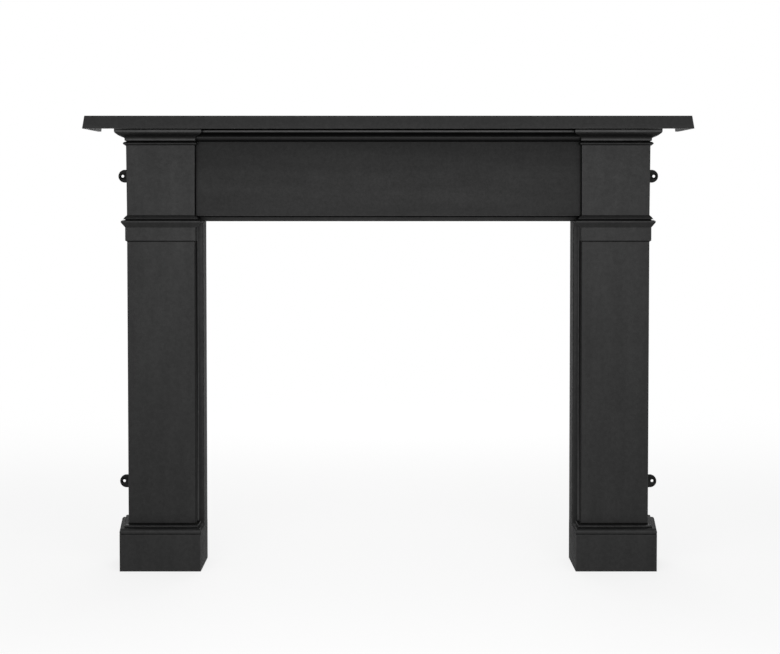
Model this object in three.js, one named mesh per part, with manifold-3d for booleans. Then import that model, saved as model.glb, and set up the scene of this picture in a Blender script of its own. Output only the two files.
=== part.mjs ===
// Cast iron fire surround: two pilaster legs, a recessed frieze and a moulded mantelshelf,
// with the bolts that hold the castings together and the lugs that hold them to a wall.
// Millimetres, +Z up. X runs along the shelf, the front faces -Y and the wall lies on +Y.
// The origin is at the bottom centre of the whole object.

import * as THREE from 'three';
import { mergeVertices } from 'three/addons/utils/BufferGeometryUtils.js';
import Module from 'manifold-3d';

const wasm = await Module();
wasm.setup();

// ---- driving dimensions ----------------------------------------------------------------

const SEAT_GAP = 0.3; // left between castings, washers and heads that bear on each other
const WALL = 8; // metal thickness of the hollow castings
const FLANGE = 9; // thickness of the flanges that take bolts
const SKIN = 1; // how far a cut reaches past the face that it opens

const OPENING_WIDTH = 966; // between the two legs' return strips
const OPENING_HEIGHT = 901;
const RETURN_STEP = 17; // width of the return strip, seen from the front
const RETURN_SETBACK = 38; // from the pilaster's front back to the return strip's

const PILASTER_WIDTH = 175;
const PILASTER_DEPTH = 105;
const SIDE_DRAFT = 0.135; // the outer sides widen towards the wall by this slope

const PLINTH_HEIGHT = 96;
const PLINTH_FRONT = 38; // how far the plinth stands out from the pilaster, in front
const PLINTH_SIDE = 17; // and on the two sides
const CAP_HEIGHT = 19; // moulded cap between the plinth and the shaft
const CAP_GROOVE = 1.6; // shadow line between the plinth and its cap, height and depth
const CAP_EDGE = 3.4; // upright edge of the cap above the groove
const CAP_QUARTER = 8.5; // height of the quarter round above the edge
const CAP_BEAD = 4.4; // height of the bead at the cap's top

const NECK_HEIGHT = 37; // plain band under the capital
const NECK_BEVEL = 3; // sloped lower edge of the band
const NECK_FRONT = 6;
const NECK_OUTER = 4.7;
const NECK_INNER = 3;

const ARRIS_RISE = 15; // from the top of the band up to the capital's arris, level with the opening
const CAPITAL_FRONT = 15;
const CAPITAL_OUTER = 15.3;
const CAPITAL_INNER = 17;
const CAPITAL_TOP_RISE = 16.6; // from the arris up to the block's face
const CAPITAL_EDGE = 4.2; // height of the upright arris
const CAPITAL_GROOVE = 4; // height of the shadow line above the arris

const CORNICE_HEIGHT = 38.7; // bead, quirk, fillet, cyma and lip together
const CORNICE_FRONT = 26;
const CORNICE_OUTER = 30.4;
const CORNICE_INNER = 22;
const CORNICE_LIP = 5.2;
const CORNICE_FILLET = 5; // upright band under the cyma
const CORNICE_FOOT = 0.165; // how far that band stands out, as a share of the cornice's projection
const BEAD_HEIGHT = 9.2;
const BEAD_SHARE = 0.3; // how far the bead stands out, as a share of the same projection
const QUIRK_HEIGHT = 2.8;
const QUIRK_SHARE = -0.08; // the quirk is cut back behind the block's face

const FRIEZE_HEIGHT = 236; // from the top of the opening to the shelf's lower edge
const FRIEZE_SETBACK = 13; // from the pilaster's front back to the frieze panel's
const FRIEZE_LIP = 14; // height of the set-back lip under the panel
const FRIEZE_CORNICE = 24; // projection of the frieze's own cornice
const FRIEZE_OVOLO = 10.6; // height of the frieze's lower curve, with the upright edge on top of it
const FRIEZE_EDGE = 2; // height of that edge
const FRIEZE_HOLLOW = 4.6; // height of the hollow between that edge and the curve under the lip
const FRIEZE_QUIRK = 2.6; // height and depth of the shadow line between the panel and the lip
const FRIEZE_RIB_COUNT = 3;
const RIB_THICKNESS = 6;
const RIB_DEPTH = 30;

const SHELF_OVERHANG = 94.8; // past the end blocks, at each end
const SHELF_FRONT = 95; // past the pilasters, in front
const SHELF_THICKNESS = 32.5;
const SHELF_BEVEL = 4.8; // how far the edges lean in from bottom to top
const SHELF_RIB_DROP = 14;

const LOWER_LUG_RISE = 207; // from the hearth to the centre of a lower wall-fixing lug
const UPPER_LUG_DROP = 118; // from the shelf's lower edge to the centre of an upper one
const LUG_HALF_HEIGHT = 17;
const LUG_REACH = 25.8; // how far the lugs' round ends stand out beside the legs
const LUG_THICKNESS = 6;
const LUG_TAIL = 34; // length of the lug behind the leg's outer wall
const WALL_HOLE = 7.6; // diameter of the screw hole that shows beside the leg
const WALL_HOLE_MARGIN = 11; // from that hole's axis to the lug's tip
const COUNTERSINK = 13;
const LUG_SCREW = 6;
const LUG_SCREW_LENGTH = 20;
const LUG_BOSS_DEPTH = 30;
const LUG_BOSS_WIDTH = 24;

const BOLT = 8; // all casting bolts are this diameter
const BOLT_HOLE = 9;
const BOLT_HEAD_ACROSS = 13;
const BOLT_HEAD_HEIGHT = 5.3;
const NUT_HEIGHT = 6.5;
const WASHER_OUTER = 16;
const WASHER_THICKNESS = 1.6;
const BOLT_SPARE = 3; // thread that shows past a nut
const FRIEZE_BOLT_INSETS = [40, 72]; // of the clamp bolts, from the panel's bottom and the shelf
const FRIEZE_BOLT_DEPTH = 50;
const SHELF_BOLT_DEPTH = 60;
const SHELF_BOLT_INSET = 42; // of the two shelf bolts in each leg, from the block's sides
const FRIEZE_SHELF_BOLT = 320; // from the middle to the frieze's own shelf bolts
const SHELF_BOLT_REACH = 14; // thread inside the shelf's boss
const SHELF_BOSS = 26;

const ROUND = 20; // sides of a round hole, shank or washer
const CURVE_STEPS = 8; // steps along a moulded curve

// ---- dimensions that follow --------------------------------------------------------------

const SHELF_DEPTH = PILASTER_DEPTH + SHELF_FRONT;
const RETURN_DEPTH = PILASTER_DEPTH - RETURN_SETBACK; // these three are measured from the wall
const FRIEZE_DEPTH = PILASTER_DEPTH - FRIEZE_SETBACK;
const WALL_Y = SHELF_DEPTH / 2;
const OPENING_X = OPENING_WIDTH / 2;
const INNER_X = OPENING_X + RETURN_STEP;
const OUTER_X = INNER_X + PILASTER_WIDTH;
const OUTER_WALL_X = OUTER_X + SIDE_DRAFT * PILASTER_DEPTH;
// The draft draws the plinth's front corners in, so its outer side stands out by that much more.
const PLINTH_OUTER = PLINTH_SIDE + SIDE_DRAFT * PLINTH_FRONT;
const ARRIS_Z = OPENING_HEIGHT;
const NECK_TOP = ARRIS_Z - ARRIS_RISE;
const NECK_BOTTOM = NECK_TOP - NECK_HEIGHT;
const SHELF_UNDERSIDE = OPENING_HEIGHT + FRIEZE_HEIGHT;
const BLOCK_BOTTOM = ARRIS_Z + CAPITAL_TOP_RISE;
const LEG_TOP = SHELF_UNDERSIDE - SEAT_GAP;
const BLOCK_TOP = LEG_TOP - CORNICE_HEIGHT;
const FLANGE_UNDER = LEG_TOP - FLANGE;
const FRIEZE_END = INNER_X - SEAT_GAP;
const PANEL_BOTTOM = OPENING_HEIGHT + FRIEZE_LIP;
const SHELF_END = OUTER_X + SHELF_OVERHANG;
const SHELF_TOP = SHELF_UNDERSIDE + SHELF_THICKNESS;
const PLATE_UNDER = SHELF_TOP - FLANGE;
const LUG_HEIGHTS = [LOWER_LUG_RISE, SHELF_UNDERSIDE - UPPER_LUG_DROP];
const FRIEZE_BOLT_HEIGHTS = [PANEL_BOTTOM + FRIEZE_BOLT_INSETS[0], SHELF_UNDERSIDE - FRIEZE_BOLT_INSETS[1]];
const LUG_TIP = OUTER_WALL_X + LUG_REACH;
const LUG_ARC_X = LUG_TIP - LUG_HALF_HEIGHT;
const LUG_INNER_X = OUTER_WALL_X - WALL - LUG_TAIL;
const LUG_BOSS_X = LUG_INNER_X + LUG_BOSS_WIDTH / 2;
const BOLT_CLEARANCE = BOLT / 2 + SEAT_GAP;

// ---- shapes --------------------------------------------------------------------------------

// A closed geometry as a solid that can be joined and cut.
function solid(geometry) {
  const bare = geometry.clone();
  bare.deleteAttribute('normal');
  bare.deleteAttribute('uv');
  const merged = mergeVertices(bare, 1e-4);
  return new wasm.Manifold(new wasm.Mesh({
    numProp: 3,
    vertProperties: Float32Array.from(merged.attributes.position.array),
    triVerts: Uint32Array.from(merged.index.array),
  }));
}

function geometryOf(manifold) {
  const mesh = manifold.getMesh();
  const geometry = new THREE.BufferGeometry();
  geometry.setAttribute('position', new THREE.BufferAttribute(mesh.vertProperties, 3));
  geometry.setIndex(new THREE.BufferAttribute(mesh.triVerts, 1));
  geometry.computeVertexNormals();
  return geometry;
}

// The mirror image across the middle plane, with its faces still pointing out.
function mirrored(geometry) {
  const twin = geometry.clone().scale(-1, 1, 1);
  const order = twin.index.array;
  for (let i = 0; i < order.length; i += 3) {
    [order[i], order[i + 1]] = [order[i + 1], order[i]];
  }
  twin.computeVertexNormals();
  return twin;
}

// A block between two x, two depths from the wall and two heights.
function block(x0, x1, depth0, depth1, z0, z1) {
  const geometry = new THREE.BoxGeometry(x1 - x0, depth1 - depth0, z1 - z0);
  geometry.translate((x0 + x1) / 2, WALL_Y - (depth0 + depth1) / 2, (z0 + z1) / 2);
  return solid(geometry);
}

// A round bar along the x, y or z axis, centred on a point.
function bar(diameter, length, axis, x, y, z, sides = ROUND) {
  const geometry = new THREE.CylinderGeometry(diameter / 2, diameter / 2, length, sides);
  if (axis === 'x') geometry.rotateZ(Math.PI / 2);
  if (axis === 'z') geometry.rotateX(Math.PI / 2);
  geometry.translate(x, y, z);
  return solid(geometry);
}

// A solid through a stack of level outlines that all have the same number of corners.
function loft(outlines) {
  const corners = outlines[0].length;
  const positions = outlines.flat().flatMap((point) => [point.x, point.y, point.z]);
  const order = [];
  for (let level = 0; level < outlines.length - 1; level += 1) {
    for (let corner = 0; corner < corners; corner += 1) {
      const a = level * corners + corner;
      const b = level * corners + (corner + 1) % corners;
      order.push(a, b, b + corners, a, b + corners, a + corners);
    }
  }
  const top = (outlines.length - 1) * corners;
  for (let corner = 1; corner < corners - 1; corner += 1) {
    order.push(0, corner + 1, corner);
    order.push(top, top + corner, top + corner + 1);
  }
  const geometry = new THREE.BufferGeometry();
  geometry.setAttribute('position', new THREE.Float32BufferAttribute(positions, 3));
  geometry.setIndex(order);
  return solid(geometry);
}

// ---- moulding profiles: points of height z and share of the projection -------------------------

const point = (z, share) => ({ z, share });

// An S-shaped stretch that starts and ends upright.
function cyma(z0, z1, share0, share1) {
  return Array.from({ length: CURVE_STEPS + 1 }, (_, step) => {
    const along = step / CURVE_STEPS;
    const swing = (1 - Math.cos(Math.PI * along)) / 2;
    return point(z0 + (z1 - z0) * along, share0 + (share1 - share0) * swing);
  });
}

// A half-round bead between two heights.
function bead(z0, z1, share0, share1) {
  return Array.from({ length: CURVE_STEPS - 1 }, (_, step) => {
    const angle = Math.PI * (step + 1) / CURVE_STEPS;
    return point(z0 + (z1 - z0) * (1 - Math.cos(angle)) / 2, share0 + (share1 - share0) * Math.sin(angle));
  });
}

// A quarter round that starts upright and turns in towards its top.
function quarter(z0, z1, share0, share1) {
  return Array.from({ length: CURVE_STEPS + 1 }, (_, step) => {
    const angle = Math.PI / 2 * step / CURVE_STEPS;
    return point(z0 + (z1 - z0) * Math.sin(angle), share1 + (share0 - share1) * Math.cos(angle));
  });
}

// A quarter round that starts level and turns upright towards its top.
function ovolo(z0, z1, share0, share1) {
  return Array.from({ length: CURVE_STEPS + 1 }, (_, step) => {
    const angle = Math.PI / 2 * step / CURVE_STEPS;
    return point(z0 + (z1 - z0) * (1 - Math.cos(angle)), share0 + (share1 - share0) * Math.sin(angle));
  });
}

// The plinth's cap: groove, upright edge, quarter round, quirk, then a bead against the shaft.
function capProfile() {
  const groove = 1 - CAP_GROOVE / PLINTH_SIDE;
  const edgeBottom = PLINTH_HEIGHT + CAP_GROOVE;
  const edgeTop = edgeBottom + CAP_EDGE;
  const capTop = PLINTH_HEIGHT + CAP_HEIGHT;
  const beadBottom = capTop - CAP_BEAD;
  return [
    point(0, 1),
    point(PLINTH_HEIGHT, 1),
    point(PLINTH_HEIGHT, groove),
    point(edgeBottom, groove),
    point(edgeBottom, 1),
    ...quarter(edgeTop, edgeTop + CAP_QUARTER, 1, 0.72),
    point(edgeTop + CAP_QUARTER, 0.4),
    point(beadBottom, 0.4),
    ...bead(beadBottom, capTop, 0.3, 0.5),
    point(capTop, 0),
  ];
}

// The capital's upper part: upright arris, shadow line and a slightly rounded slope up to the block.
function capitalProfile() {
  const edgeTop = ARRIS_Z + CAPITAL_EDGE / 2;
  const grooveTop = edgeTop + CAPITAL_GROOVE;
  return [
    point(ARRIS_Z - CAPITAL_EDGE / 2, 1),
    point(edgeTop, 1),
    point(edgeTop, 0.3),
    point(grooveTop, 0.3),
    point(grooveTop, 0.62),
    point((grooveTop + BLOCK_BOTTOM) / 2, 0.4),
    point(BLOCK_BOTTOM, 0),
  ];
}

// The cornice: bead, quirk, fillet, cyma and lip.
function corniceProfile() {
  const beadTop = BLOCK_TOP + BEAD_HEIGHT;
  const foot = beadTop + QUIRK_HEIGHT;
  return [
    ...bead(BLOCK_TOP, beadTop, 0, BEAD_SHARE),
    point(beadTop, QUIRK_SHARE),
    point(foot, QUIRK_SHARE),
    point(foot, CORNICE_FOOT),
    ...cyma(foot + CORNICE_FILLET, LEG_TOP - CORNICE_LIP, CORNICE_FOOT, 1),
    point(LEG_TOP, 1),
  ];
}

// The frieze's own cornice: quirk, ovolo with an upright edge, hollow, cyma and lip.
function friezeCorniceProfile() {
  const quirkBottom = BLOCK_TOP + BEAD_HEIGHT;
  const foot = quirkBottom + QUIRK_HEIGHT;
  const edgeTop = foot + FRIEZE_OVOLO;
  return [
    point(quirkBottom, 0),
    point(quirkBottom, QUIRK_SHARE),
    point(foot, QUIRK_SHARE),
    ...ovolo(foot, edgeTop - FRIEZE_EDGE, 0.04, 0.45),
    point(edgeTop, 0.45),
    point(edgeTop, 0.1),
    ...cyma(edgeTop + FRIEZE_HOLLOW, LEG_TOP - CORNICE_LIP, 0.1, 1),
    point(LEG_TOP, 1),
  ];
}

// ---- the legs -----------------------------------------------------------------------------------

// The right leg's outline at one height, with its front and sides moved out from the pilaster.
function legOutline(z, front, outer, inner) {
  const depth = PILASTER_DEPTH + front;
  const outerWall = OUTER_WALL_X + outer;
  return [
    new THREE.Vector3(INNER_X - inner, WALL_Y, z),
    new THREE.Vector3(INNER_X - inner, WALL_Y - depth, z),
    new THREE.Vector3(outerWall - SIDE_DRAFT * depth, WALL_Y - depth, z),
    new THREE.Vector3(outerWall, WALL_Y, z),
  ];
}

function legEnvelope() {
  const plinth = capProfile().map(({ z, share }) => legOutline(
    z, share * PLINTH_FRONT, share * PLINTH_OUTER, share * PLINTH_SIDE,
  ));
  const neck = [
    legOutline(NECK_BOTTOM, 0, 0, 0),
    legOutline(NECK_BOTTOM + NECK_BEVEL, NECK_FRONT, NECK_OUTER, NECK_INNER),
    legOutline(NECK_TOP, NECK_FRONT, NECK_OUTER, NECK_INNER),
  ];
  const capital = capitalProfile().map(({ z, share }) => legOutline(
    z, share * CAPITAL_FRONT, share * CAPITAL_OUTER, share * CAPITAL_INNER,
  ));
  const cornice = corniceProfile().map(({ z, share }) => legOutline(
    z, share * CORNICE_FRONT, share * CORNICE_OUTER, share * CORNICE_INNER,
  ));
  return loft([...plinth, ...neck, ...capital, ...cornice]);
}

// The hollow that is open at the wall and at the foot.
function legHollow() {
  const through = (z, front, outer, inner) => {
    const outline = legOutline(z, front - WALL, outer - WALL, inner - WALL);
    return outline.map((corner) => (corner.y === WALL_Y ? corner.setY(WALL_Y + SKIN) : corner));
  };
  const plinth = loft([-SKIN, PLINTH_HEIGHT - WALL].map((z) => through(
    z, PLINTH_FRONT, PLINTH_OUTER, PLINTH_SIDE,
  )));
  const shaft = loft([-SKIN, FLANGE_UNDER].map((z) => through(z, 0, 0, 0)));
  const corniceFoot = BLOCK_TOP + CORNICE_HEIGHT / 2;
  const cornice = loft([
    through(corniceFoot, 0, 0, 0),
    through(FLANGE_UNDER, CORNICE_FRONT / 2, CORNICE_OUTER / 2, 0),
  ]);
  const strip = block(
    OPENING_X + WALL, INNER_X + WALL + SKIN, -SKIN, RETURN_DEPTH - WALL,
    -SKIN, OPENING_HEIGHT - SEAT_GAP - WALL,
  );
  return plinth.add(shaft).add(cornice).add(strip);
}

function lugSeat(height) {
  const boss = block(
    LUG_INNER_X, OUTER_WALL_X - WALL / 2, LUG_THICKNESS + SEAT_GAP, LUG_BOSS_DEPTH,
    height - LUG_HALF_HEIGHT, height + LUG_HALF_HEIGHT,
  );
  const notch = block(
    LUG_INNER_X - SKIN, LUG_TIP, -SKIN, LUG_THICKNESS + SEAT_GAP,
    height - LUG_HALF_HEIGHT - SEAT_GAP, height + LUG_HALF_HEIGHT + SEAT_GAP,
  );
  const tapping = bar(
    LUG_SCREW + 2 * SEAT_GAP, 2 * (LUG_SCREW_LENGTH + SKIN), 'y', LUG_BOSS_X, WALL_Y, height,
  );
  return { boss, cut: notch.add(tapping) };
}

function legGeometry() {
  let leg = legEnvelope().add(block(
    OPENING_X, INNER_X + SKIN, 0, RETURN_DEPTH, 0, OPENING_HEIGHT - SEAT_GAP,
  ));
  leg = leg.subtract(legHollow()).subtract(friezeEnvelope(INNER_X, SEAT_GAP));
  for (const height of LUG_HEIGHTS) {
    const seat = lugSeat(height);
    leg = leg.add(seat.boss).subtract(seat.cut);
  }
  for (const height of FRIEZE_BOLT_HEIGHTS) {
    leg = leg.subtract(bar(BOLT_HOLE, 4 * WALL, 'x', INNER_X, WALL_Y - FRIEZE_BOLT_DEPTH, height));
  }
  for (const x of legShelfBolts) {
    leg = leg.subtract(bar(BOLT_HOLE, 4 * FLANGE, 'z', x, WALL_Y - SHELF_BOLT_DEPTH, LEG_TOP));
  }
  return geometryOf(leg);
}

const legShelfBolts = [INNER_X + SHELF_BOLT_INSET, OUTER_X - SHELF_BOLT_INSET];

// ---- the frieze ---------------------------------------------------------------------------------

// The frieze's outside as one moulded bar between -x and +x, grown by a clearance.
function friezeEnvelope(x, grow) {
  const front = (z, depth) => [
    new THREE.Vector3(x, WALL_Y + grow, z),
    new THREE.Vector3(-x, WALL_Y + grow, z),
    new THREE.Vector3(-x, WALL_Y - depth - grow, z),
    new THREE.Vector3(x, WALL_Y - depth - grow, z),
  ];
  return loft([
    front(OPENING_HEIGHT - grow, RETURN_DEPTH),
    front(PANEL_BOTTOM - FRIEZE_QUIRK + grow, RETURN_DEPTH),
    front(PANEL_BOTTOM - FRIEZE_QUIRK + grow, RETURN_DEPTH - FRIEZE_QUIRK),
    front(PANEL_BOTTOM - grow, RETURN_DEPTH - FRIEZE_QUIRK),
    front(PANEL_BOTTOM - grow, FRIEZE_DEPTH),
    ...friezeCorniceProfile().map(({ z, share }) => front(z, FRIEZE_DEPTH + share * FRIEZE_CORNICE)),
    ...(grow > 0 ? [front(LEG_TOP + SKIN, FRIEZE_DEPTH + FRIEZE_CORNICE)] : []),
  ]);
}

function friezeGeometry() {
  const inside = FRIEZE_END - FLANGE;
  const panelHollow = block(
    -inside, inside, -SKIN, FRIEZE_DEPTH - WALL, PANEL_BOTTOM + WALL, FLANGE_UNDER,
  );
  const lipHollow = block(
    -inside, inside, -SKIN, RETURN_DEPTH - WALL, OPENING_HEIGHT + WALL, PANEL_BOTTOM + WALL + SKIN,
  );
  let frieze = friezeEnvelope(FRIEZE_END, 0).subtract(panelHollow).subtract(lipHollow);
  for (let rib = 0; rib < FRIEZE_RIB_COUNT; rib += 1) {
    const x = FRIEZE_SHELF_BOLT * (2 * (rib + 1) / (FRIEZE_RIB_COUNT + 1) - 1);
    frieze = frieze.add(block(
      x - RIB_THICKNESS / 2, x + RIB_THICKNESS / 2, FRIEZE_DEPTH - WALL - RIB_DEPTH, FRIEZE_DEPTH - WALL / 2,
      PANEL_BOTTOM + WALL / 2, LEG_TOP - FLANGE / 2,
    ));
  }
  for (const side of [-1, 1]) {
    for (const height of FRIEZE_BOLT_HEIGHTS) {
      const hole = bar(BOLT_HOLE, 4 * WALL, 'x', side * FRIEZE_END, WALL_Y - FRIEZE_BOLT_DEPTH, height);
      frieze = frieze.subtract(hole);
    }
    frieze = frieze.subtract(bar(
      BOLT_HOLE, 4 * FLANGE, 'z', side * FRIEZE_SHELF_BOLT, WALL_Y - SHELF_BOLT_DEPTH, LEG_TOP,
    ));
  }
  return geometryOf(frieze);
}

// ---- the mantelshelf ----------------------------------------------------------------------------

const shelfBolts = [...legShelfBolts, FRIEZE_SHELF_BOLT].flatMap((x) => [-x, x]);

// A tray turned upside down: rim on the front and both ends, and a rail along the wall that
// bears on the legs and the frieze. Past the legs its ends are open towards the wall.
function shelfGeometry() {
  const outline = (z, inset, back) => {
    const half = SHELF_END - inset - SHELF_BEVEL * (z - SHELF_UNDERSIDE) / SHELF_THICKNESS;
    const depth = SHELF_DEPTH - inset - SHELF_BEVEL * (z - SHELF_UNDERSIDE) / SHELF_THICKNESS;
    return [
      new THREE.Vector3(half, back, z),
      new THREE.Vector3(-half, back, z),
      new THREE.Vector3(-half, WALL_Y - depth, z),
      new THREE.Vector3(half, WALL_Y - depth, z),
    ];
  };
  const body = loft([outline(SHELF_UNDERSIDE, 0, WALL_Y), outline(SHELF_TOP, 0, WALL_Y)]);
  const hollow = loft([SHELF_UNDERSIDE - SKIN, PLATE_UNDER].map((z) => outline(z, FLANGE, WALL_Y + SKIN)));
  const rail = block(-OUTER_X, OUTER_X, 0, FLANGE, SHELF_UNDERSIDE, PLATE_UNDER + FLANGE / 2);
  let shelf = body.subtract(hollow).add(rail);
  const ribX = (FRIEZE_SHELF_BOLT + legShelfBolts[0]) / 2;
  const ribs = [-ribX, 0, ribX];
  for (const x of ribs) {
    shelf = shelf.add(block(
      x - RIB_THICKNESS / 2, x + RIB_THICKNESS / 2, 0, SHELF_DEPTH - FLANGE,
      PLATE_UNDER - SHELF_RIB_DROP, PLATE_UNDER + FLANGE / 2,
    ));
  }
  const bossHeight = PLATE_UNDER + FLANGE / 2 - SHELF_UNDERSIDE;
  for (const x of shelfBolts) {
    const y = WALL_Y - SHELF_BOLT_DEPTH;
    const tapping = 2 * (SHELF_BOLT_REACH + SKIN);
    shelf = shelf.add(bar(SHELF_BOSS, bossHeight, 'z', x, y, SHELF_UNDERSIDE + bossHeight / 2));
    shelf = shelf.subtract(bar(2 * BOLT_CLEARANCE, tapping, 'z', x, y, SHELF_UNDERSIDE));
  }
  return geometryOf(shelf);
}

// ---- the wall-fixing lugs -----------------------------------------------------------------------

// A flat D-shaped lug for the right side, lying against the wall, with its outside hole sunk
// from the front and its inside hole sunk from the wall.
function lugGeometry() {
  const shape = new THREE.Shape();
  shape.moveTo(LUG_INNER_X, -LUG_HALF_HEIGHT);
  shape.lineTo(LUG_ARC_X, -LUG_HALF_HEIGHT);
  shape.absarc(LUG_ARC_X, 0, LUG_HALF_HEIGHT, -Math.PI / 2, Math.PI / 2, false);
  shape.lineTo(LUG_INNER_X, LUG_HALF_HEIGHT);
  shape.closePath();
  const plate = new THREE.ExtrudeGeometry(shape, {
    depth: LUG_THICKNESS, bevelEnabled: false, curveSegments: CURVE_STEPS,
  });
  plate.rotateX(Math.PI / 2);
  plate.translate(0, WALL_Y, 0);
  const wallX = LUG_TIP - WALL_HOLE_MARGIN;
  const sinkDepth = (COUNTERSINK - WALL_HOLE) / 2;
  const sink = new THREE.CylinderGeometry(WALL_HOLE / 2, COUNTERSINK / 2 + SKIN, sinkDepth + SKIN, ROUND);
  sink.translate(wallX, WALL_Y - LUG_THICKNESS + sinkDepth - (sinkDepth + SKIN) / 2, 0);
  return geometryOf(solid(plate)
    .subtract(bar(WALL_HOLE, 4 * LUG_THICKNESS, 'y', wallX, WALL_Y, 0))
    .subtract(solid(sink))
    .subtract(solid(screwShape(SEAT_GAP)).translate([LUG_BOSS_X, WALL_Y, 0])));
}

// A countersunk screw whose head is flush with the wall side, grown by a clearance.
function screwShape(grow) {
  const shank = LUG_SCREW / 2 + grow;
  const head = LUG_SCREW + grow;
  const flat = grow > 0 ? SKIN : -SEAT_GAP / 2;
  const profile = [
    [0, -LUG_SCREW_LENGTH],
    [shank, -LUG_SCREW_LENGTH],
    [shank, -LUG_SCREW / 2],
    [head, -SEAT_GAP],
    [head, flat],
    [0, flat],
  ];
  return new THREE.LatheGeometry(profile.map(([radius, along]) => new THREE.Vector2(radius, along)), ROUND);
}

function screwGeometry() {
  const slot = new THREE.BoxGeometry(3 * LUG_SCREW, 2 * WASHER_THICKNESS, WASHER_THICKNESS);
  return geometryOf(solid(screwShape(0)).subtract(solid(slot)));
}

// ---- bolts, washers and nuts, each lying along +Z from the face it bears on -----------------------

// The head hangs below z = 0 and the shank rises from it.
function boltGeometry(length) {
  const across = BOLT_HEAD_ACROSS / Math.cos(Math.PI / 6);
  const head = bar(across, BOLT_HEAD_HEIGHT, 'z', 0, 0, -BOLT_HEAD_HEIGHT / 2, 6);
  return geometryOf(head.add(bar(BOLT, length + SKIN, 'z', 0, 0, (length - SKIN) / 2)));
}

function washerGeometry() {
  const inner = BOLT_CLEARANCE;
  const outer = WASHER_OUTER / 2;
  const ring = [[inner, 0], [outer, 0], [outer, WASHER_THICKNESS], [inner, WASHER_THICKNESS], [inner, 0]];
  const washer = new THREE.LatheGeometry(ring.map(([radius, z]) => new THREE.Vector2(radius, z)), ROUND);
  return geometryOf(solid(washer.rotateX(Math.PI / 2)));
}

function nutGeometry() {
  const across = BOLT_HEAD_ACROSS / Math.cos(Math.PI / 6);
  const body = bar(across, NUT_HEIGHT, 'z', 0, 0, NUT_HEIGHT / 2, 6);
  return geometryOf(body.subtract(bar(2 * BOLT_CLEARANCE, 4 * NUT_HEIGHT, 'z', 0, 0, 0)));
}

// ---- the assembly ---------------------------------------------------------------------------------

const iron = new THREE.MeshStandardMaterial({ color: 0x343536, roughness: 0.55, metalness: 0.6 });
const lugIron = new THREE.MeshStandardMaterial({ color: 0x262728, roughness: 0.6, metalness: 0.6 });
const steel = new THREE.MeshStandardMaterial({ color: 0x8c8f91, roughness: 0.4, metalness: 0.9 });

const surround = new THREE.Group();

function place(name, geometry, material, x = 0, y = 0, z = 0) {
  const mesh = new THREE.Mesh(geometry, material);
  mesh.name = name;
  mesh.position.set(x, y, z);
  surround.add(mesh);
  return mesh;
}

const leg = legGeometry();
place('right_leg', leg, iron);
place('left_leg', mirrored(leg), iron);
place('frieze', friezeGeometry(), iron);
place('mantelshelf', shelfGeometry(), iron);

// Lugs and their screws.
const lug = lugGeometry();
const lugTwin = mirrored(lug);
const screw = screwGeometry();
LUG_HEIGHTS.forEach((height, index) => {
  const level = ['lower', 'upper'][index];
  place(`right_${level}_lug`, lug, lugIron, 0, 0, height);
  place(`left_${level}_lug`, lugTwin, lugIron, 0, 0, height);
  place(`right_${level}_lug_screw`, screw, steel, LUG_BOSS_X, WALL_Y, height);
  place(`left_${level}_lug_screw`, screw, steel, -LUG_BOSS_X, WALL_Y, height);
});

// Bolts that clamp the frieze's end flanges to the legs: the head is inside the leg's hollow
// and the nut is behind the frieze.
const washer = washerGeometry();
const nut = nutGeometry();
const seat = WASHER_THICKNESS + 2 * SEAT_GAP; // from a bearing face to the far side of a washer
const clampLength = seat + WALL + SEAT_GAP + FLANGE + seat + NUT_HEIGHT + BOLT_SPARE;
const friezeBolt = boltGeometry(clampLength);
for (const [sideName, side] of [['left', -1], ['right', 1]]) {
  FRIEZE_BOLT_HEIGHTS.forEach((height, index) => {
    const level = ['lower', 'upper'][index];
    const y = WALL_Y - FRIEZE_BOLT_DEPTH;
    const towardsMiddle = -side * Math.PI / 2;
    const legFace = INNER_X + WALL;
    const friezeFace = FRIEZE_END - FLANGE;
    const pieces = [
      ['bolt', friezeBolt, legFace + seat],
      ['leg_washer', washer, legFace + SEAT_GAP + WASHER_THICKNESS],
      ['frieze_washer', washer, friezeFace - SEAT_GAP],
      ['nut', nut, friezeFace - seat],
    ];
    for (const [piece, geometry, x] of pieces) {
      const mesh = place(`${sideName}_${level}_clamp_${piece}`, geometry, steel, side * x, y, height);
      mesh.rotation.y = towardsMiddle;
    }
  });
}

// Bolts that hold the shelf down, put in from below through the top flanges.
const shelfBolt = boltGeometry(seat + FLANGE + SEAT_GAP + SHELF_BOLT_REACH);
[...shelfBolts].sort((a, b) => a - b).forEach((x, index) => {
  const y = WALL_Y - SHELF_BOLT_DEPTH;
  place(`shelf_bolt_${index + 1}`, shelfBolt, steel, x, y, FLANGE_UNDER - seat);
  place(`shelf_washer_${index + 1}`, washer, steel, x, y, FLANGE_UNDER - SEAT_GAP - WASHER_THICKNESS);
});

export default surround;
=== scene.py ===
# Looks of the cast iron fire surround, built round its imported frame. Metres, +Z up, front on -Y.

import math

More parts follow.
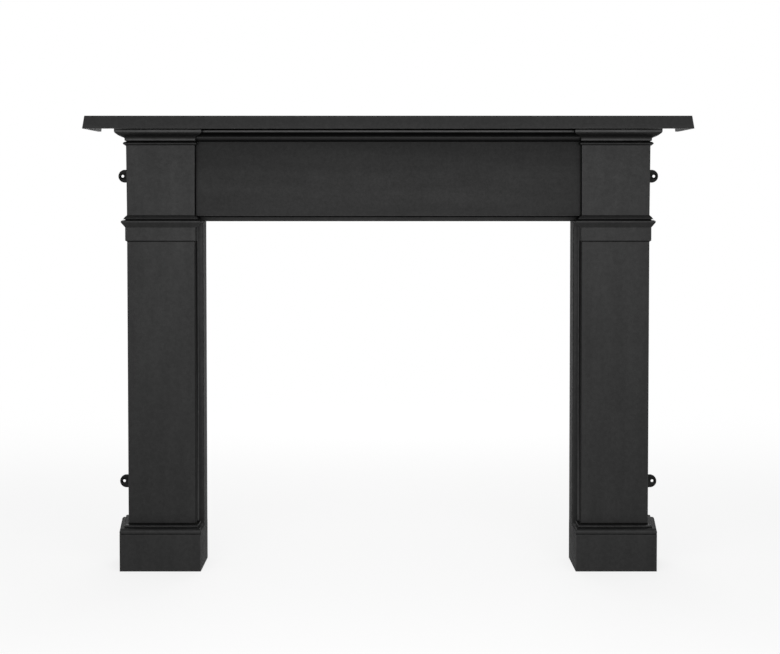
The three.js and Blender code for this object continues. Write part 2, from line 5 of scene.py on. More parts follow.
import bmesh
import bpy
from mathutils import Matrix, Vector


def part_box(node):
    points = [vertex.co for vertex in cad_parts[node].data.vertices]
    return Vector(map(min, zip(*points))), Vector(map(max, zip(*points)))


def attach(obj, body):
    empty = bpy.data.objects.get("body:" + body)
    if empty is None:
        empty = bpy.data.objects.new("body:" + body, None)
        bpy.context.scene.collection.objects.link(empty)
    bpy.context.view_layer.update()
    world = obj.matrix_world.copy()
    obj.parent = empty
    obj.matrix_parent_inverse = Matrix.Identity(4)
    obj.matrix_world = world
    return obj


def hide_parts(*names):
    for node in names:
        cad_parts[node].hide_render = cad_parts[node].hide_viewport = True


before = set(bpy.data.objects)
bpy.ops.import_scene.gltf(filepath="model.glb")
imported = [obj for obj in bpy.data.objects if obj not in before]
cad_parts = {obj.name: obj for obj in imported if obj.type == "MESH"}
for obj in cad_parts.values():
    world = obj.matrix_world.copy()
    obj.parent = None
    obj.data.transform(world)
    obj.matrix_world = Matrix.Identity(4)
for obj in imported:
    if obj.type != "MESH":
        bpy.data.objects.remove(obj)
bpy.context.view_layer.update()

MM = 0.001
GAP = 0.3 * MM  # between two castings
STRIP_WIDTH = 17 * MM  # the set-back return strip beside the opening

# ---- sizes from the frame ------------------------------------------------------------------------

leg_low, leg_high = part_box("right_leg")
frieze_low, frieze_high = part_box("frieze")
shelf_low, shelf_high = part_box("mantelshelf")
lug_low, lug_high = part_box("right_upper_lug")
lower_lug_low, lower_lug_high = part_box("right_lower_lug")

WALL_Y = leg_high[1]
INNER_X = frieze_high[0] + GAP  # inner side of the pilaster
OPENING_X = INNER_X - STRIP_WIDTH
LEG_TOP = leg_high[2]
OPENING_Z = frieze_low[2]
SHELF_UNDERSIDE = shelf_low[2]
SHELF_TOP = shelf_high[2]
SHELF_DEPTH = WALL_Y - shelf_low[1]
SHELF_END = shelf_high[0]
PLINTH_DEPTH = WALL_Y - leg_low[1]

# ---- sizes of the castings' own features ---------------------------------------------------------

WALL = 8 * MM
FLANGE = 9 * MM
SKIN = 1 * MM  # how far a cutting or joining solid reaches past a face
PLINTH_FRONT = 38 * MM
PLINTH_SIDE = 17 * MM
SIDE_DRAFT = 0.135
PILASTER_DEPTH = PLINTH_DEPTH - PLINTH_FRONT
PLINTH_OUTER = PLINTH_SIDE + SIDE_DRAFT * PLINTH_FRONT
STRIP_SETBACK = 38 * MM
RETURN_DEPTH = PILASTER_DEPTH - STRIP_SETBACK

PLINTH_HEIGHT = 96 * MM
CAP_HEIGHT = 19 * MM
CAP_GROOVE = 1.6 * MM
CAP_EDGE = 3.4 * MM
CAP_QUARTER = 8.5 * MM
CAP_BEAD = 4.4 * MM
NECK_HEIGHT = 37 * MM
NECK_BEVEL = 3 * MM
NECK_OUT = (6 * MM, 4.7 * MM, 3 * MM)  # front, outer and inner projection
ARRIS_RISE = 15 * MM
CAPITAL_OUT = (15 * MM, 15.3 * MM, 17 * MM)
CAPITAL_TOP_RISE = 16.6 * MM
CAPITAL_EDGE = 4.2 * MM
CAPITAL_GROOVE = 4 * MM
CORNICE_HEIGHT = 38.7 * MM
CORNICE_OUT = (26 * MM, 30.4 * MM, 22 * MM)
OUTER_WALL_X = leg_high[0] - CORNICE_OUT[1]
CORNICE_LIP = 5.2 * MM
CORNICE_FILLET = 5 * MM
FILLET_UPRIGHT = 0.6 * CORNICE_FILLET
CORNICE_FOOT = 0.165
BEAD_HEIGHT = 9.2 * MM
BEAD_SHARE = 0.3
QUIRK_HEIGHT = 2.8 * MM
QUIRK_SHARE = -0.08
FRIEZE_SETBACK = 13 * MM
FRIEZE_DEPTH = PILASTER_DEPTH - FRIEZE_SETBACK
FRIEZE_LIP = 14 * MM
FRIEZE_CORNICE = 24 * MM
FRIEZE_OVOLO = 10.6 * MM
FRIEZE_EDGE = 2 * MM
FRIEZE_HOLLOW = 4.6 * MM
FRIEZE_QUIRK = 2.6 * MM
FRIEZE_RIB = 30 * MM
SHELF_BEVEL = 4.8 * MM
SHELF_MARGINS = (2 * MM, 3 * MM)  # level stretches below and above the shelf's rounded edges
SHELF_RIB = 14 * MM
HOLLOW_LEAN = 0.7 * SHELF_BEVEL
RAIL_PAST_LEG = 6 * MM  # the rail at the wall reaches this far past each leg
RIB = 6 * MM

# ---- rounding and finish of the castings ---------------------------------------------------------

ARRIS = 0.9 * MM  # cut off each side of a moulding's sharp edges
CORNER = 1.6 * MM  # the same at the upright corners
HOLLOW_CORNER = 4 * MM
FRIEZE_ARRIS = 1.5 * MM  # rounding at the frieze's two ends, which makes the dark joint line together with the painted shade on these faces
SHELF_ARRIS = 0.6 * MM
STRIP_FILLET = 2.2 * MM  # in the corner between the pilaster and its return strip
STRIP_STEP = 0.05 * MM  # keeps the strip just off the plinth's plane, so that they join cleanly
EDGE_ROUNDING = 0.7 * MM  # at the edges that a cut left sharp
CURVE_STEPS = 20
CORNER_STEPS = 5
MOST_OF_SIDE = 0.45  # the most that a rounded corner takes off the lines beside it
SHARP_TURN = math.radians(25)  # a profile's corner that turns further than this is rounded
SMOOTH_BELOW = math.radians(32)  # edges that turn less than this are shaded smooth
ROUND_ABOVE = math.radians(40)  # edges left by a cut that turn further than this are rounded
WORN_AND_HIGHLIGHT, PAINTED_SHADE = 1, 2  # material slots on each casting: worn edges, partly real rubbing and partly painted highlight, and painted shade in hollows, creases and joints
NARROW = 0.7 * MM  # a face that is narrower than this is the rounding of an edge
LONG = 4 * MM  # shorter edges are neither rounded nor given the worn material with its painted highlight
HAIR = 0.1 * MM  # how far each band of painted shade and of painted highlight reaches past the edge that it follows
SHADE = 2.4 * MM  # height of the painted shade in the crease above the cap
CYMA_LIGHT = 1.8 * MM  # the frieze cornice's top, which is left without painted shade

# ---- fixings -------------------------------------------------------------------------------------

LUG_BOSS_DEPTH = 30 * MM
LUG_EDGE = 0.8 * MM
LUG_STEPS = 32
WALL_HOLE = 7.6 * MM
WALL_HOLE_MARGIN = 11 * MM
WALL_HOLE_SINK = 2.7 * MM
SCREW_HOLE = 6.6 * MM
SCREW_SINK = 3 * MM
SCREW_HEAD = 6 * MM  # radius
SCREW_RIM = 0.15 * MM
SCREW_SHANK = 3 * MM  # radius
SLOT_DEPTH = 1.2 * MM
SLOT_WIDTH = 1.4 * MM
BOLT_HOLE = 9 * MM
SHELF_BOSS = 26 * MM
SHELF_BOLT_DEPTH = 15 * MM
BOLT = 8 * MM
BOLT_BORE = 8.6 * MM
BOLT_HEAD = 5.3 * MM
BOLT_ACROSS = 13 * MM
HEX_CHAMFER = 1 * MM
HEX_FACE = 0.95  # radius of a hexagon's round end face, as a share of half its width
THREAD_LENGTH = 12 * MM
THREAD_PITCH = 1.25 * MM
THREAD_DEPTH = 0.65 * MM
THREAD_STEPS = 6  # rings for each turn of the thread
END_CHAMFER = 0.8 * MM
WASHER_EDGE = 0.25 * MM
TIP = 0.1 * MM  # radius of the small face that closes a turned end
ROUND_SIDES = 48
SHELF_BOLTS = [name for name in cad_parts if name.startswith("shelf_bolt")]

# ---- heights -------------------------------------------------------------------------------------

NECK_TOP = OPENING_Z - ARRIS_RISE
NECK_BOTTOM = NECK_TOP - NECK_HEIGHT
BLOCK_BOTTOM = OPENING_Z + CAPITAL_TOP_RISE
BLOCK_TOP = LEG_TOP - CORNICE_HEIGHT
PANEL_BOTTOM = OPENING_Z + FRIEZE_LIP
CAP_TOP = PLINTH_HEIGHT + CAP_HEIGHT
CAPITAL_LOW = OPENING_Z - CAPITAL_EDGE / 2
CAPITAL_HIGH = OPENING_Z + CAPITAL_EDGE / 2
QUIRK = BLOCK_TOP + BEAD_HEIGHT
QUIRK_TOP = QUIRK + QUIRK_HEIGHT


# ---- profiles: points of (height, projection) ----------------------------------------------------

def cyma(z0, z1, out0, out1):
    """An S-shaped stretch that starts and ends upright."""
    points = []
    for step in range(CURVE_STEPS + 1):
        along = step / CURVE_STEPS
        swing = (1 - math.cos(math.pi * along)) / 2
        points.append((z0 + (z1 - z0) * along, out0 + (out1 - out0) * swing))
    return points


def bead(z0, z1, out0, out1):
    """A half-round bead between two heights."""
    points = []
    for step in range(1, CURVE_STEPS):
        angle = math.pi * step / CURVE_STEPS
        rise = (1 - math.cos(angle)) / 2
        points.append((z0 + (z1 - z0) * rise, out0 + (out1 - out0) * math.sin(angle)))
    return points


def quarter(z0, z1, out0, out1):
    """A quarter round that starts upright and turns in towards its top."""
    points = []
    for step in range(CURVE_STEPS + 1):
        angle = math.pi / 2 * step / CURVE_STEPS
        points.append((z0 + (z1 - z0) * math.sin(angle), out1 + (out0 - out1) * math.cos(angle)))
    return points


def ovolo(z0, z1, out0, out1):
    """A quarter round that starts level and turns upright towards its top."""
    points = []
    for step in range(CURVE_STEPS + 1):
        angle = math.pi / 2 * step / CURVE_STEPS
        points.append((z0 + (z1 - z0) * (1 - math.cos(angle)), out0 + (out1 - out0) * math.sin(angle)))
    return points


def softened(points, radius, steps=4):
    """The same open line with each sharp corner replaced by a small curve."""
    line = [Vector(p) for p in points]
    out = [line[0]]
    for before, corner, after in zip(line, line[1:], line[2:]):
        back, ahead = before - corner, after - corner
        if math.pi - back.angle(ahead, math.pi) < SHARP_TURN:
            out.append(corner)
            continue
        start = corner + back.normalized() * min(radius, back.length * MOST_OF_SIDE)
        end = corner + ahead.normalized() * min(radius, ahead.length * MOST_OF_SIDE)
        for step in range(steps + 1):
            t = step / steps
            out.append(start * (1 - t) ** 2 + corner * 2 * t * (1 - t) + end * t ** 2)
    out.append(line[-1])
    return [tuple(p) for p in out]


def rounding(radius, steps=4):
    """A quarter round's points as (distance along, inset)."""
    angles = (math.pi / 2 * step / steps for step in range(steps + 1))
    return [(radius * (1 - math.cos(a)), radius * (1 - math.sin(a))) for a in angles]


# ---- mesh helpers --------------------------------------------------------------------------------

def new_object(name, bm):
    """Makes a mesh object whose edges stay sharp only above an angle."""
    bmesh.ops.recalc_face_normals(bm, faces=bm.faces[:])
    for face in bm.faces:
        face.smooth = True
    for edge in bm.edges:
        edge.smooth = edge.calc_face_angle(math.pi) < SMOOTH_BELOW
    mesh = bpy.data.meshes.new(name)
    bm.to_mesh(mesh)
    bm.free()
    obj = bpy.data.objects.new(name, mesh)
    bpy.context.scene.collection.objects.link(obj)
    return obj


def loft(rings):
    """A closed solid through rings that all have the same number of points."""
    bm = bmesh.new()
    levels = [[bm.verts.new(p) for p in ring] for ring in rings]
    for low, high in zip(levels, levels[1:]):
        for i in range(len(low)):
            j = (i + 1) % len(low)
            bm.faces.new((low[i], low[j], high[j], high[i]))
    bm.faces.new(list(reversed(levels[0])))
    bm.faces.new(levels[-1])
    bmesh.ops.remove_doubles(bm, verts=bm.verts[:], dist=1e-7)
    return bm


def box(x0, x1, depth0, depth1, z0, z1):
    """A block between two x, two depths from the wall and two heights."""
    ring = [(x0, WALL_Y - depth0), (x0, WALL_Y - depth1), (x1, WALL_Y - depth1), (x1, WALL_Y - depth0)]
    return loft([[(x, y, z) for x, y in ring] for z in (z0, z1)])


def cone(start, end, radius0, radius1, sides=40):
    """A tapered bar between two points."""
    start, end = Vector(start), Vector(end)
    turn = (end - start).to_track_quat("Z", "Y").to_matrix()
    angles = [2 * math.pi * i / sides for i in range(sides)]
    rings = []
    for at, r in ((start, radius0), (end, radius1)):
        rings.append([at + turn @ Vector((r * math.cos(a), r * math.sin(a), 0)) for a in angles])
    return loft(rings)


def rod(radius, start, end):
    """A round bar between two points."""
    return cone(start, end, radius, radius)


def rings_round(profile, origin, towards, shape=None):
    """Rings round an axis for a profile of (radius, along), with each radius changed by shape."""
    turn = Vector(towards).to_track_quat("Z", "Y").to_matrix()
    rings = []
    for radius, along in profile:
        ring = []
        for i in range(ROUND_SIDES):
            angle = 2 * math.pi * i / ROUND_SIDES
            r = shape(radius, along, angle) if shape else radius
            spot = Vector((r * math.cos(angle), r * math.sin(angle), along))
            ring.append(Vector(origin) + turn @ spot)
        rings.append(ring)
    return rings


def boolean(obj, bm, operation):
    """Joins bm to obj or cuts it away, and applies the result."""
    tool = new_object("tool", bm)
    mod = obj.modifiers.new("boolean", "BOOLEAN")
    mod.operation = operation
    mod.solver = "EXACT"
    mod.object = tool
    bpy.context.view_layer.update()
    result = bpy.data.meshes.new_from_object(obj.evaluated_get(bpy.context.evaluated_depsgraph_get()))
    obj.modifiers.clear()
    result.materials.clear()
    old, obj.data = obj.data, result
    bpy.data.meshes.remove(old)
    bpy.data.objects.remove(tool)


def join(obj, bm):
    boolean(obj, bm, "UNION")


def cut(obj, bm):
    boolean(obj, bm, "DIFFERENCE")


def middle(node):
    """The middle of a node's box."""
    low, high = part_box(node)
    return (Vector(low) + Vector(high)) / 2


def rounded_edges(obj):
    """Rounds the outward edges that a cut left sharp; the new faces take the worn material, which also
    paints a highlight on them.
    """
    bm = bmesh.new()
    bm.from_mesh(obj.data)
    bmesh.ops.remove_doubles(bm, verts=bm.verts[:], dist=2e-6)
    bmesh.ops.dissolve_limit(bm, angle_limit=math.radians(0.5), verts=bm.verts[:], edges=bm.edges[:],
                             delimit={"MATERIAL"})
    weight = bm.edges.layers.float.new("bevel_weight_edge")
    for face in bm.faces:
        face.smooth = True
    for edge in bm.edges:
        turn = edge.calc_face_angle_signed(0)
        edge.smooth = abs(turn) < SMOOTH_BELOW
        edge[weight] = float(turn > ROUND_ABOVE and edge.calc_length() > LONG)
    bm.to_mesh(obj.data)
    bm.free()
    mod = obj.modifiers.new("arris", "BEVEL")
    mod.width = EDGE_ROUNDING
    mod.segments = 3
    mod.limit_method = "WEIGHT"
    mod.material = WORN_AND_HIGHLIGHT
    mod.use_clamp_overlap = True
    mod.harden_normals = True


def in_bands(z, bands):
    return any(low < z < high for low, high in bands)


def shade_faces(obj, wear_and_highlight_bands=(), shade_bands=(), in_shade=None, bright=None):
    """Marks narrow outward edges and some bands of height as worn with a painted highlight, and the
    hollows, creases and joints with painted shade.

    The bands lie on the front and the sides; in_shade and bright tell further faces for painted shade
    and painted highlight by middle and normal.
    by middle and normal.
    """
    bm = bmesh.new()
    bm.from_mesh(obj.data)
    bm.normal_update()
    for face in bm.faces:
        longest = max(edge.calc_length() for edge in face.edges)
        narrow = face.calc_area() / longest < NARROW
        turn = sum(max(edge.calc_face_angle_signed(0), 0) for edge in face.edges
                   if edge.calc_length() > longest / 2)
        centre = face.calc_center_median()
        depth = WALL_Y - centre.y
        outside = depth > RETURN_DEPTH - FRIEZE_QUIRK - MM
        if outside and in_bands(centre.z, shade_bands) or in_shade and in_shade(centre, face.normal):
            face.material_index = PAINTED_SHADE
        elif outside and in_bands(centre.z, wear_and_highlight_bands) or bright and bright(centre, face.normal):
            face.material_index = WORN_AND_HIGHLIGHT
        elif narrow and longest > LONG and turn > SHARP_TURN and depth > RETURN_DEPTH + MM:
            face.material_index = WORN_AND_HIGHLIGHT
    bm.to_mesh(obj.data)
    bm.free()


def leg_in_shade(centre, normal):
    """The leg's faces against the frieze, and the pilaster's inner arris, which are given painted
    shade.
    """
    returns = normal.x < -0.3 and centre.z > CAPITAL_HIGH and centre.x < INNER_X
    arris = (-0.98 < normal.x < -0.2 and CAP_TOP < centre.z < NECK_TOP
             and WALL_Y - centre.y > PILASTER_DEPTH - CORNER)
    return returns or arris


def fillet_highlight(centre, normal):
    """The fillet between the pilaster and the return strip, which is given a painted highlight."""
    beyond = WALL_Y - centre.y - RETURN_DEPTH
    return (-0.95 < normal.x < -0.2 and normal.y < -0.2 and centre.z < NECK_TOP
            and abs(beyond) < STRIP_FILLET + MM and abs(centre.x - INNER_X) < STRIP_FILLET + CORNER)


def frieze_in_shade(centre, normal):
    """The frieze's faces at its two ends, which are given painted shade in the joints."""
    return abs(centre.x) > frieze_high[0] - FRIEZE_ARRIS


def shelf_in_shade(centre, normal):
    """The shelf's lowest faces, which are given painted shade."""
    return normal.z < -0.9 and centre.z < SHELF_UNDERSIDE + MM


def mirrored(obj, name):
    """The mirror twin across the middle plane."""
    bm = bmesh.new()
    bm.from_mesh(obj.data)
    bmesh.ops.scale(bm, vec=(-1, 1, 1), verts=bm.verts[:])
    bmesh.ops.reverse_faces(bm, faces=bm.faces[:])
    mesh = bpy.data.meshes.new(name)
    bm.to_mesh(mesh)
    bm.free()
    twin = bpy.data.objects.new(name, mesh)
    bpy.context.scene.collection.objects.link(twin)
    keys = ("width", "segments", "limit_method", "material", "use_clamp_overlap", "harden_normals")
    for mod in obj.modifiers:
        copy = twin.modifiers.new(mod.name, mod.type)
        for key in keys:
            setattr(copy, key, getattr(mod, key))
    return twin


# ---- the legs ------------------------------------------------------------------------------------

def leg_ring(z, front, outer, inner, corner=CORNER, back=0.0):
    """The right leg's level outline, with its two front corners rounded."""
    depth = PILASTER_DEPTH + front
    x_in = INNER_X - inner
    x_wall = OUTER_WALL_X + outer
    x_front = x_wall - SIDE_DRAFT * depth
    y = WALL_Y - depth
    plan = softened([
        (x_in, WALL_Y + back), (x_in, y), (x_front, y), (x_wall + SIDE_DRAFT * back, WALL_Y + back),
    ], corner, CORNER_STEPS)
    return [(px, py, z) for px, py in plan]


def leg_profile():
    """The leg's mouldings from foot to top, as (height, projections to front, outer and inner side)."""
    edge_low = PLINTH_HEIGHT + CAP_GROOVE
    edge_high = edge_low + CAP_EDGE
    bead_low = CAP_TOP - CAP_BEAD
    groove = 1 - CAP_GROOVE / PLINTH_SIDE
    plinth = [(0, 1), (PLINTH_HEIGHT, 1), (PLINTH_HEIGHT, groove), (edge_low, groove), (edge_low, 1),
              *quarter(edge_high, edge_high + CAP_QUARTER, 1, 0.72), (edge_high + CAP_QUARTER, 0.4),
              (bead_low, 0.4), *bead(bead_low, CAP_TOP, 0.3, 0.5), (CAP_TOP, 0), (CAP_TOP + SHADE, 0)]
    groove_top = CAPITAL_HIGH + CAPITAL_GROOVE
    capital = [(CAPITAL_LOW, 1), (CAPITAL_HIGH, 1), (CAPITAL_HIGH, 0.3), (groove_top, 0.3),
               (groove_top, 0.62), ((groove_top + BLOCK_BOTTOM) / 2, 0.4), (BLOCK_BOTTOM, 0)]
    cornice = [*bead(BLOCK_TOP, QUIRK, 0, BEAD_SHARE), (QUIRK, QUIRK_SHARE), (QUIRK_TOP, QUIRK_SHARE),
               (QUIRK_TOP, CORNICE_FOOT), (QUIRK_TOP + FILLET_UPRIGHT, CORNICE_FOOT),
               *cyma(QUIRK_TOP + CORNICE_FILLET, LEG_TOP - CORNICE_LIP, CORNICE_FOOT, 1), (LEG_TOP, 1)]

    def spread(points, out):
        return [(z, *(share * each for each in out)) for z, share in points]

    neck = [(NECK_BOTTOM, 0, 0, 0), (NECK_BOTTOM + NECK_BEVEL, *NECK_OUT), (NECK_TOP, *NECK_OUT)]
    plinth_out = (PLINTH_FRONT, PLINTH_OUTER, PLINTH_SIDE)
    return [*spread(plinth, plinth_out), *neck,
            *spread(capital, CAPITAL_OUT), *spread(cornice, CORNICE_OUT)]


def leg_hollow():
    """The hollow that is open at the wall and at the foot, as overlapping solids."""
    def ring(z, front, outer, inner):
        return leg_ring(z, front - WALL, outer - WALL, inner - WALL, HOLLOW_CORNER, SKIN)

    plinth_top = PLINTH_HEIGHT - WALL
    plinth = loft([ring(z, PLINTH_FRONT, PLINTH_OUTER, PLINTH_SIDE) for z in (-SKIN, plinth_top)])
    shaft = loft([ring(z, 0, 0, 0) for z in (-SKIN, LEG_TOP - FLANGE)])
    half = [each / 2 for each in CORNICE_OUT[:2]]
    cornice = loft([ring(BLOCK_TOP + CORNICE_HEIGHT / 2, 0, 0, 0), ring(LEG_TOP - FLANGE, *half, 0)])
    strip = box(OPENING_X + WALL, INNER_X + WALL + SKIN, -SKIN, RETURN_DEPTH - WALL,
                -SKIN, OPENING_Z - GAP - WALL)
    return plinth, shaft, cornice, strip


def return_strip():
    """The strip beside the opening, with a fillet where it meets the pilaster."""
    strip_x = OPENING_X + STRIP_STEP
    front = WALL_Y - RETURN_DEPTH
    plan = softened([
        (INNER_X + SKIN, WALL_Y), (strip_x, WALL_Y), (strip_x, front), (INNER_X - STRIP_FILLET, front),
        (INNER_X + SKIN, front - STRIP_FILLET - SKIN),
    ], CORNER, CORNER_STEPS)
    return loft([[(x, y, z) for x, y in plan] for z in (0, OPENING_Z - GAP)])


def clamp_hole(node, reach):
    """The hole for a clamp bolt, as a rod along x."""
    along = Vector((reach, 0, 0))
    return rod(BOLT_HOLE / 2, middle(node) + along, middle(node) - along)


def shelf_hole(centre):
    """The hole for a shelf bolt through the top flange of a casting."""
    return rod(BOLT_HOLE / 2, centre - Vector((0, 0, WALL)), centre + Vector((0, 0, 3 * WALL)))


def right_leg():
    """The leg's outside, joined to its strip, hollowed and cut out for the pieces fixed to it."""
    profile = softened(leg_profile(), ARRIS)
    leg = new_object("right_leg_casting", loft([leg_ring(*level) for level in profile]))
    join(leg, return_strip())
    for part in leg_hollow():
        cut(leg, part)
    cut(leg, frieze_bar(INNER_X, GAP))
    for low, high in ((lower_lug_low, lower_lug_high), (lug_low, lug_high)):
        seat = high[1] - low[1] + GAP
        join(leg, box(low[0], OUTER_WALL_X - WALL / 2, seat, LUG_BOSS_DEPTH, low[2], high[2]))
        cut(leg, box(low[0] - SKIN, high[0], -SKIN, seat, low[2] - GAP, high[2] + GAP))
    for node in ("right_lower_clamp_bolt", "right_upper_clamp_bolt"):
        cut(leg, clamp_hole(node, 2 * WALL))
    for node in SHELF_BOLTS:
        if middle(node).x > INNER_X:
            cut(leg, shelf_hole(middle(node)))
    return leg


# ---- the frieze ----------------------------------------------------------------------------------

def frieze_ring(x, grow):
    """The frieze's outside in the plane at x, its front moved out or, below zero, in."""
    rise = max(grow, 0)
    top = LEG_TOP + (SKIN if grow > 0 else 0)
    edge = QUIRK_TOP + FRIEZE_OVOLO
    cornice = [(QUIRK, 0), (QUIRK, QUIRK_SHARE), (QUIRK_TOP, QUIRK_SHARE),
               *ovolo(QUIRK_TOP, edge - FRIEZE_EDGE, 0.04, 0.45), (edge, 0.45), (edge, 0.1),
               *cyma(edge + FRIEZE_HOLLOW, LEG_TOP - CORNICE_LIP, 0.1, 1), (top, 1)]
    slot_low, slot_high = PANEL_BOTTOM - FRIEZE_QUIRK + rise, PANEL_BOTTOM - rise
    slot_back = RETURN_DEPTH - FRIEZE_QUIRK
    outline = softened([
        (OPENING_Z - rise, 0), (OPENING_Z - rise, RETURN_DEPTH), (slot_low, RETURN_DEPTH),
        (slot_low, slot_back), (slot_high, slot_back), (slot_high, FRIEZE_DEPTH),
        *((z, FRIEZE_DEPTH + share * FRIEZE_CORNICE) for z, share in cornice), (top, 0),
    ], ARRIS)
    return [(x, WALL_Y - depth - grow if depth > 0 else WALL_Y + rise, z) for z, depth in outline]


def frieze_bar(x, grow):
    """The frieze's outside from x to -x."""
    rings = [frieze_ring(x, grow), frieze_ring(-x, grow)]
    return loft(rings)


def frieze():
    """The frieze with rounded ends, hollowed from the wall, with three ribs and its bolt holes."""
    end = frieze_high[0]
    arc = rounding(FRIEZE_ARRIS)
    rings = [frieze_ring(end - along, -inset) for along, inset in arc]
    rings += [frieze_ring(-end + along, -inset) for along, inset in reversed(arc)]
    obj = new_object("frieze_casting", loft(rings))
    inside = end - FLANGE
    panel_back = FRIEZE_DEPTH - WALL
    panel_foot = PANEL_BOTTOM + WALL
    cut(obj, box(-inside, inside, -SKIN, panel_back, panel_foot, LEG_TOP - FLANGE))
    cut(obj, box(-inside, inside, -SKIN, RETURN_DEPTH - WALL, OPENING_Z + WALL, panel_foot + SKIN))
    inner_bolts = [middle(node) for node in SHELF_BOLTS if abs(middle(node).x) < INNER_X]
    reach = max(centre.x for centre in inner_bolts)
    for x in (-reach / 2, 0, reach / 2):
        join(obj, box(x - RIB / 2, x + RIB / 2, panel_back - FRIEZE_RIB, FRIEZE_DEPTH - WALL / 2,
                      PANEL_BOTTOM + WALL / 2, LEG_TOP - FLANGE / 2))
    for side in ("left", "right"):
        for level in ("lower", "upper"):
            cut(obj, clamp_hole(f"{side}_{level}_clamp_bolt", 3 * WALL))
    for centre in inner_bolts:
        cut(obj, shelf_hole(centre))
    return obj


# ---- the mantelshelf -----------------------------------------------------------------------------

def shelf_ring(z, inset, lean, back=0.0, corner=CORNER):
    """The shelf's level outline, moved in by inset and lean."""
    half = SHELF_END - inset - lean
    y = WALL_Y - SHELF_DEPTH + inset + lean
    y_back = WALL_Y + back
    plan = softened([(-half, y_back), (-half, y), (half, y), (half, y_back)], corner, CORNER_STEPS)
    return [(px, py, z) for px, py in plan]


def mantelshelf():
    """The shelf, hollow from below and at the wall, with a rail, ribs and bosses for its bolts."""
    below, above = SHELF_MARGINS
    edge = softened([(below, SHELF_UNDERSIDE), (0, SHELF_UNDERSIDE), (SHELF_BEVEL, SHELF_TOP),
                     (SHELF_BEVEL + above, SHELF_TOP)], SHELF_ARRIS)
    obj = new_object("mantelshelf_casting", loft([shelf_ring(z, 0, lean) for lean, z in edge]))
    plate_under = SHELF_TOP - FLANGE
    in_plate = plate_under + FLANGE / 2
    hollow = loft([shelf_ring(SHELF_UNDERSIDE - SKIN, FLANGE, 0, SKIN, HOLLOW_CORNER),
                   shelf_ring(plate_under, FLANGE, HOLLOW_LEAN, SKIN, HOLLOW_CORNER)])
    cut(obj, hollow)
    rail_end = leg_high[0] + RAIL_PAST_LEG
    join(obj, box(-rail_end, rail_end, 0, FLANGE, SHELF_UNDERSIDE, in_plate))
    bolts = [middle(node) for node in SHELF_BOLTS]
    inner = max(centre.x for centre in bolts if centre.x < INNER_X)
    outer = min(centre.x for centre in bolts if centre.x > INNER_X)
    rib_x = (outer + inner) / 2
    for x in (-rib_x, 0, rib_x):
        join(obj, box(x - RIB / 2, x + RIB / 2, 0, SHELF_DEPTH - FLANGE,
                      plate_under - SHELF_RIB, in_plate))
    for centre in bolts:
        low = Vector((centre.x, centre.y, SHELF_UNDERSIDE))
        join(obj, rod(SHELF_BOSS / 2, low, low + Vector((0, 0, in_plate - SHELF_UNDERSIDE))))
        cut(obj, rod(BOLT_BORE / 2, low - Vector((0, 0, WALL)), low + Vector((0, 0, SHELF_BOLT_DEPTH))))
    return obj


# ---- lugs and fixings ----------------------------------------------------------------------------

def lug(node):
    """A D-shaped lug with softened edges, a countersunk wall hole and a sunk hole for its screw."""
    low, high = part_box(node)
    half = (high[2] - low[2]) / 2
    centre_z = (high[2] + low[2]) / 2
    arc_x = high[0] - half
    thickness = high[1] - low[1]

    def ring(y, inset):
        reach = half - inset
        points = [(low[0] + inset, y, centre_z + reach), (low[0] + inset, y, centre_z - reach)]
        for step in range(LUG_STEPS + 1):
            angle = math.pi * (step / LUG_STEPS - 0.5)
            points.append((arc_x + reach * math.cos(angle), y, centre_z + reach * math.sin(angle)))
        return points

    arc = rounding(LUG_EDGE)
    rings = [ring(low[1] + along, inset) for along, inset in arc]
    rings += [ring(high[1] - along, inset) for along, inset in reversed(arc)]
    obj = new_object(node + "_plate", loft(rings))
    out = Vector((0, -1, 0))
    hole = Vector((high[0] - WALL_HOLE_MARGIN, WALL_Y, centre_z))
    cut(obj, rod(WALL_HOLE / 2, hole - out * thickness, hole + out * 2 * thickness))
    cut(obj, cone(hole + out * (thickness - WALL_HOLE_SINK), hole + out * (thickness + SKIN),
                  WALL_HOLE / 2, WALL_HOLE / 2 + WALL_HOLE_SINK + SKIN))
    seat = Vector((middle(node + "_screw").x, WALL_Y, centre_z))
    cut(obj, rod(SCREW_HOLE / 2, seat - out * thickness, seat + out * 2 * thickness))
    cut(obj, cone(seat + out * SCREW_SINK, seat - out * SKIN,
                  SCREW_HOLE / 2, SCREW_HOLE / 2 + SCREW_SINK + SKIN))
    return obj


def turned(name, profile, origin, towards, shape=None):
    """A solid turned piece: a profile of (radius, along) from origin."""
    return new_object(name, loft(rings_round(profile, origin, towards, shape)))


def hex_radius(across, angle):
    """Distance from the middle of a hexagon to its side."""
    sector = (angle + math.pi / 6) % (math.pi / 3) - math.pi / 6
    return across / 2 / math.cos(sector)


def hex_profile(z0, z1, across, dome, steps=6):
    """A chamfered hexagon's profile: its radius grows over the dome's height."""
    start = across / 2 * HEX_FACE
    corner = across / 2 / math.cos(math.pi / 6)
    shares = [step / steps for step in range(steps + 1)]
    return [*((start + (corner - start) * share, z0 + dome * share) for share in shares), (corner, z1)]


